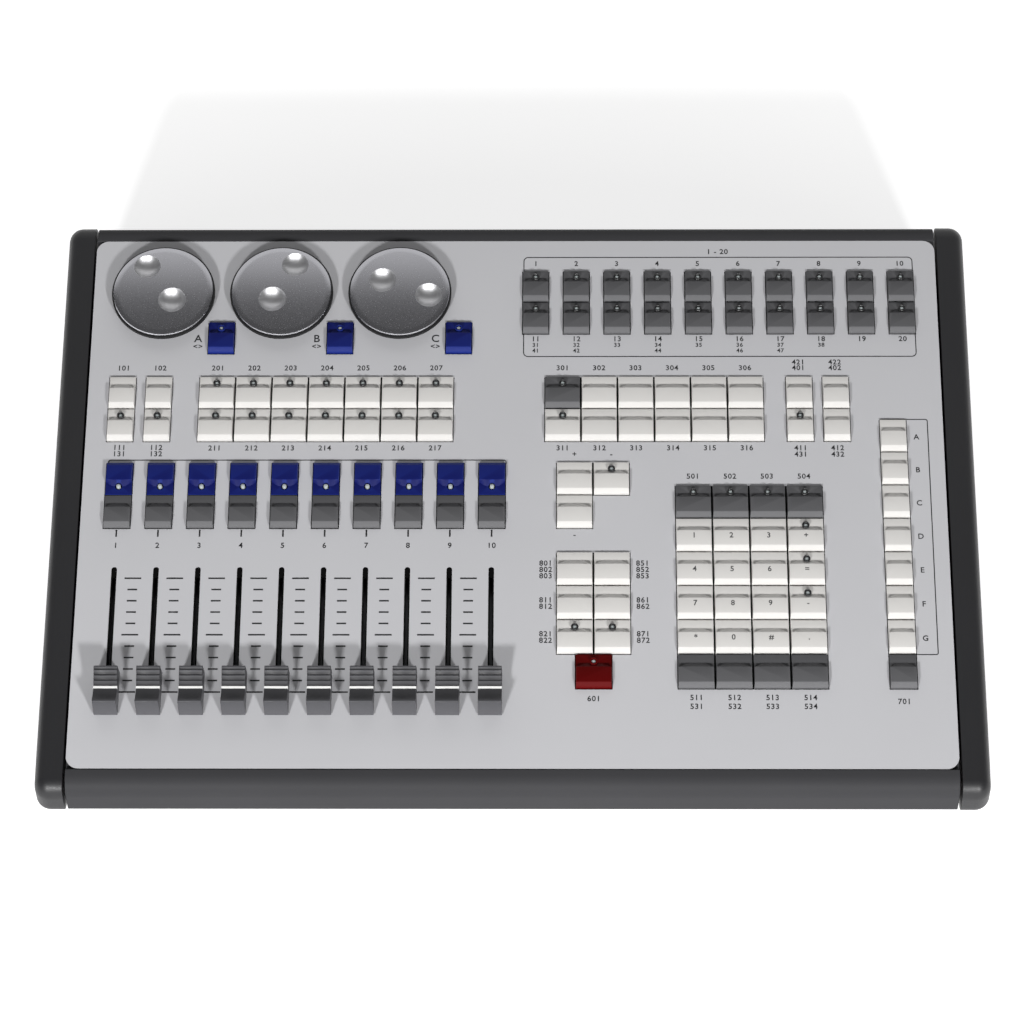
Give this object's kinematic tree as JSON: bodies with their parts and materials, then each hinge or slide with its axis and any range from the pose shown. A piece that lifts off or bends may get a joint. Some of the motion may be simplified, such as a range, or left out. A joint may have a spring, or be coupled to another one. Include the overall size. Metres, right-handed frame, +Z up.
{
  "type": "lighting control desk",
  "caption": "Wedge-shaped stage lighting desk: sloping panel with playback faders, turning wheels and blocks of lamp keys in a dark case on rubber feet.",
  "frame": {"origin": "centre of the desk outline on the table, under the rubber feet", "axes": "+X to the operator's right along the front, +Y from the operator to the rear sheet, +Z up"},
  "size_m": [0.4528, 0.309, 0.0868],
  "materials": {
    "panel_paint": "satin, fine grain",
    "rail_paint": "satin",
    "cheek_plastic": "fine moulded texture",
    "black_sheet": "powder coated",
    "foot_rubber": "matt",
    "screw_steel": "zinc plated",
    "circuit_board": "solder mask",
    "switch_plastic": "moulded",
    "lamp_plastic": "diffusing",
    "pressed_steel": "pressed",
    "supply_case": "folded sheet",
    "cable_sleeve": "ribbon and leads",
    "rocker_plastic": "moulded",
    "cap_plastic": "satin moulded",
    "wheel_metal": "satin turned",
    "wheel_grip": "matt",
    "blue_key": "satin moulded",
    "white_key": "satin moulded",
    "grey_key": "satin moulded",
    "dark_key": "satin moulded",
    "red_key": "satin moulded"
  },
  "bodies": {
    "desk": {"top_panel": "panel_paint", "front_rail": "rail_paint", "rear_rail": "rail_paint", "base_tray": "black_sheet", "rear_panel": "black_sheet", "side_plates": "black_sheet", "left_cheek": "cheek_plastic", "right_cheek": "cheek_plastic", "feet": "foot_rubber", "case_screws": "screw_steel", "key_board": "circuit_board", "key_switches": "switch_plastic", "key_lamps": "lamp_plastic", "board_pillars": "screw_steel", "fader_frames": "pressed_steel", "encoder_housings": "pressed_steel", "encoder_nuts": "screw_steel", "processor_board": "circuit_board", "power_supply": "supply_case", "internal_wiring": "cable_sleeve", "mains_inlet": "switch_plastic", "switch_housing": "switch_plastic", "dmx_sockets": "switch_plastic", "usb_sockets": "switch_plastic"},
    "fader_1": {"fader_1": "cap_plastic"},
    "fader_2": {"fader_2": "cap_plastic"},
    "fader_3": {"fader_3": "cap_plastic"},
    "fader_4": {"fader_4": "cap_plastic"},
    "fader_5": {"fader_5": "cap_plastic"},
    "fader_6": {"fader_6": "cap_plastic"},
    "fader_7": {"fader_7": "cap_plastic"},
    "fader_8": {"fader_8": "cap_plastic"},
    "fader_9": {"fader_9": "cap_plastic"},
    "fader_10": {"fader_10": "cap_plastic"},
    "wheel_a": {"wheel_disc_a": "wheel_metal", "wheel_hub_a": "wheel_grip"},
    "wheel_b": {"wheel_disc_b": "wheel_metal", "wheel_hub_b": "wheel_grip"},
    "wheel_c": {"wheel_disc_c": "wheel_metal", "wheel_hub_c": "wheel_grip"},
    "wheel_key_a": {"wheel_key_a": "blue_key"},
    "wheel_key_b": {"wheel_key_b": "blue_key"},
    "wheel_key_c": {"wheel_key_c": "blue_key"},
    "fixture_keys": {"fixture_keys": "white_key"},
    "attribute_keys": {"attribute_keys": "white_key"},
    "flash_keys": {"flash_keys": "blue_key"},
    "select_keys": {"select_keys": "grey_key"},
    "executor_keys": {"executor_keys": "grey_key"},
    "record_key": {"record_key": "dark_key"},
    "menu_keys": {"menu_keys": "white_key"},
    "window_keys": {"window_keys": "white_key"},
    "page_keys": {"page_keys": "white_key"},
    "cue_keys": {"cue_keys": "white_key"},
    "go_key": {"go_key": "red_key"},
    "keypad_upper_keys": {"keypad_upper_keys": "grey_key"},
    "keypad_keys": {"keypad_keys": "white_key"},
    "keypad_lower_keys": {"keypad_lower_keys": "grey_key"},
    "soft_keys": {"soft_keys": "white_key"},
    "locate_key": {"locate_key": "grey_key"},
    "power_rocker": {"power_rocker": "rocker_plastic"}
  },
  "joints": [
    {"name": "fader_1_slide", "type": "slide", "parent": "desk", "child": "fader_1", "axis": [0, 0.9903, 0.1392], "range_m": [0, 0.06]},
    {"name": "fader_2_slide", "type": "slide", "parent": "desk", "child": "fader_2", "axis": [0, 0.9903, 0.1392], "range_m": [0, 0.06]},
    {"name": "fader_3_slide", "type": "slide", "parent": "desk", "child": "fader_3", "axis": [0, 0.9903, 0.1392], "range_m": [0, 0.06]},
    {"name": "fader_4_slide", "type": "slide", "parent": "desk", "child": "fader_4", "axis": [0, 0.9903, 0.1392], "range_m": [0, 0.06]},
    {"name": "fader_5_slide", "type": "slide", "parent": "desk", "child": "fader_5", "axis": [0, 0.9903, 0.1392], "range_m": [0, 0.06]},
    {"name": "fader_6_slide", "type": "slide", "parent": "desk", "child": "fader_6", "axis": [0, 0.9903, 0.1392], "range_m": [0, 0.06]},
    {"name": "fader_7_slide", "type": "slide", "parent": "desk", "child": "fader_7", "axis": [0, 0.9903, 0.1392], "range_m": [0, 0.06]},
    {"name": "fader_8_slide", "type": "slide", "parent": "desk", "child": "fader_8", "axis": [0, 0.9903, 0.1392], "range_m": [0, 0.06]},
    {"name": "fader_9_slide", "type": "slide", "parent": "desk", "child": "fader_9", "axis": [0, 0.9903, 0.1392], "range_m": [0, 0.06]},
    {"name": "fader_10_slide", "type": "slide", "parent": "desk", "child": "fader_10", "axis": [0, 0.9903, 0.1392], "range_m": [0, 0.06]},
    {"name": "wheel_a_turn", "type": "hinge", "parent": "desk", "child": "wheel_a", "pos_m": [-0.17598, 0.11011, 0.07603], "axis": [0, -0.1392, 0.9903], "continuous": true},
    {"name": "wheel_b_turn", "type": "hinge", "parent": "desk", "child": "wheel_b", "pos_m": [-0.11673, 0.11011, 0.07603], "axis": [0, -0.1392, 0.9903], "continuous": true},
    {"name": "wheel_c_turn", "type": "hinge", "parent": "desk", "child": "wheel_c", "pos_m": [-0.05748, 0.11011, 0.07603], "axis": [0, -0.1392, 0.9903], "continuous": true},
    {"name": "wheel_key_a_press", "type": "slide", "parent": "desk", "child": "wheel_key_a", "axis": [0, 0.1392, -0.9903], "range_m": [0, 0.0015], "stiffness_N_per_m": 300, "springref_m": -0.001},
    {"name": "wheel_key_b_press", "type": "slide", "parent": "desk", "child": "wheel_key_b", "axis": [0, 0.1392, -0.9903], "range_m": [0, 0.0015], "stiffness_N_per_m": 300, "springref_m": -0.001},
    {"name": "wheel_key_c_press", "type": "slide", "parent": "desk", "child": "wheel_key_c", "axis": [0, 0.1392, -0.9903], "range_m": [0, 0.0015], "stiffness_N_per_m": 300, "springref_m": -0.001},
    {"name": "fixture_keys_press", "type": "slide", "parent": "desk", "child": "fixture_keys", "axis": [0, 0.1392, -0.9903], "range_m": [0, 0.0015], "stiffness_N_per_m": 1200, "springref_m": -0.001},
    {"name": "attribute_keys_press", "type": "slide", "parent": "desk", "child": "attribute_keys", "axis": [0, 0.1392, -0.9903], "range_m": [0, 0.0015], "stiffness_N_per_m": 4200, "springref_m": -0.001},
    {"name": "flash_keys_press", "type": "slide", "parent": "desk", "child": "flash_keys", "axis": [0, 0.1392, -0.9903], "range_m": [0, 0.0015], "stiffness_N_per_m": 3000, "springref_m": -0.001},
    {"name": "select_keys_press", "type": "slide", "parent": "desk", "child": "select_keys", "axis": [0, 0.1392, -0.9903], "range_m": [0, 0.0015], "stiffness_N_per_m": 3000, "springref_m": -0.001},
    {"name": "executor_keys_press", "type": "slide", "parent": "desk", "child": "executor_keys", "axis": [0, 0.1392, -0.9903], "range_m": [0, 0.0015], "stiffness_N_per_m": 6000, "springref_m": -0.001},
    {"name": "record_key_press", "type": "slide", "parent": "desk", "child": "record_key", "axis": [0, 0.1392, -0.9903], "range_m": [0, 0.0015], "stiffness_N_per_m": 300, "springref_m": -0.001},
    {"name": "menu_keys_press", "type": "slide", "parent": "desk", "child": "menu_keys", "axis": [0, 0.1392, -0.9903], "range_m": [0, 0.0015], "stiffness_N_per_m": 3300, "springref_m": -0.001},
    {"name": "window_keys_press", "type": "slide", "parent": "desk", "child": "window_keys", "axis": [0, 0.1392, -0.9903], "range_m": [0, 0.0015], "stiffness_N_per_m": 1200, "springref_m": -0.001},
    {"name": "page_keys_press", "type": "slide", "parent": "desk", "child": "page_keys", "axis": [0, 0.1392, -0.9903], "range_m": [0, 0.0015], "stiffness_N_per_m": 900, "springref_m": -0.001},
    {"name": "cue_keys_press", "type": "slide", "parent": "desk", "child": "cue_keys", "axis": [0, 0.1392, -0.9903], "range_m": [0, 0.0015], "stiffness_N_per_m": 1800, "springref_m": -0.001},
    {"name": "go_key_press", "type": "slide", "parent": "desk", "child": "go_key", "axis": [0, 0.1392, -0.9903], "range_m": [0, 0.0015], "stiffness_N_per_m": 300, "springref_m": -0.001},
    {"name": "keypad_upper_keys_press", "type": "slide", "parent": "desk", "child": "keypad_upper_keys", "axis": [0, 0.1392, -0.9903], "range_m": [0, 0.0015], "stiffness_N_per_m": 1200, "springref_m": -0.001},
    {"name": "keypad_keys_press", "type": "slide", "parent": "desk", "child": "keypad_keys", "axis": [0, 0.1392, -0.9903], "range_m": [0, 0.0015], "stiffness_N_per_m": 4800, "springref_m": -0.001},
    {"name": "keypad_lower_keys_press", "type": "slide", "parent": "desk", "child": "keypad_lower_keys", "axis": [0, 0.1392, -0.9903], "range_m": [0, 0.0015], "stiffness_N_per_m": 1200, "springref_m": -0.001},
    {"name": "soft_keys_press", "type": "slide", "parent": "desk", "child": "soft_keys", "axis": [0, 0.1392, -0.9903], "range_m": [0, 0.0015], "stiffness_N_per_m": 2100, "springref_m": -0.001},
    {"name": "locate_key_press", "type": "slide", "parent": "desk", "child": "locate_key", "axis": [0, 0.1392, -0.9903], "range_m": [0, 0.0015], "stiffness_N_per_m": 300, "springref_m": -0.001},
    {"name": "power_rocker_tilt", "type": "hinge", "parent": "desk", "child": "power_rocker", "pos_m": [0.13303, 0.1505, 0.037], "axis": [1, 0, 0], "range_deg": [0, 20]}
  ]
}
